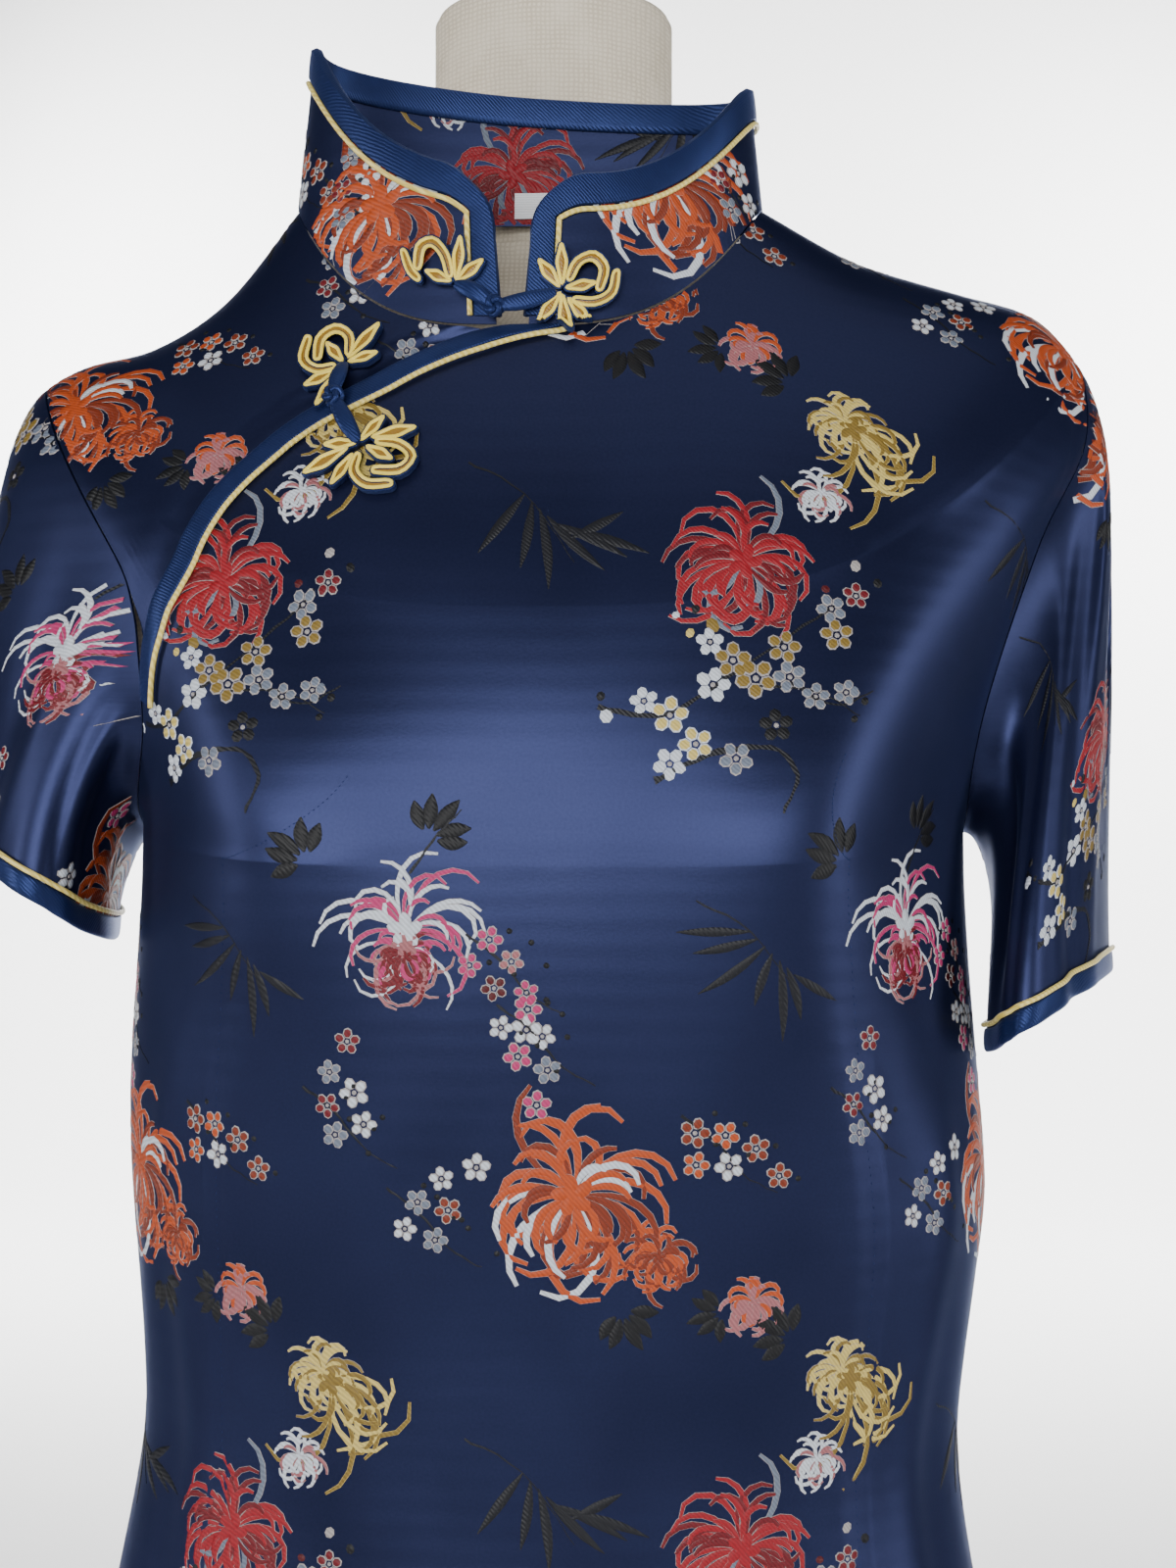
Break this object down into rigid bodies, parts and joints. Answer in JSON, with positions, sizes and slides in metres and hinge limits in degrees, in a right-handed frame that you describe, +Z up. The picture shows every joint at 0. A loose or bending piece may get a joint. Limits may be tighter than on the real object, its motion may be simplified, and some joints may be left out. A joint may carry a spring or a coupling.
{
  "type": "cheongsam dress on dress form",
  "caption": "Navy brocade cheongsam with stand collar, short sleeves and flower frogs, worn by a limbless linen dress form on a round stand.",
  "frame": {"origin": "on the floor, centre of the stand's base", "axes": "+Z up, the front of the dress faces -Y, the wearer's left side is at +X"},
  "size_m": [0.4757, 0.44, 1.58],
  "materials": {
    "navy_brocade": "satin",
    "navy_satin": "satin",
    "gold_piping": "satin",
    "white_label": "matte",
    "cream_linen": "matte",
    "brushed_steel": "satin"
  },
  "bodies": {
    "root": {"front": "navy_brocade", "under_front": "navy_brocade", "back": "navy_brocade", "sleeve_right": "navy_brocade", "sleeve_left": "navy_brocade", "collar": "navy_brocade", "front_opening_binding": "navy_satin", "front_hem_binding": "navy_satin", "back_hem_binding": "navy_satin", "sleeve_right_binding": "navy_satin", "sleeve_left_binding": "navy_satin", "collar_binding": "navy_satin", "front_opening_piping": "gold_piping", "front_hem_piping": "gold_piping", "back_hem_piping": "gold_piping", "sleeve_right_piping": "gold_piping", "sleeve_left_piping": "gold_piping", "collar_piping": "gold_piping", "collar_button_flower": "navy_satin", "collar_loop_flower": "navy_satin", "chest_button_flower": "navy_satin", "chest_loop_flower": "navy_satin", "collar_knot": "navy_satin", "chest_knot": "navy_satin", "neck_label": "white_label", "form_torso": "cream_linen", "stand_pole": "brushed_steel", "stand_base": "brushed_steel"}
  },
  "joints": []
}
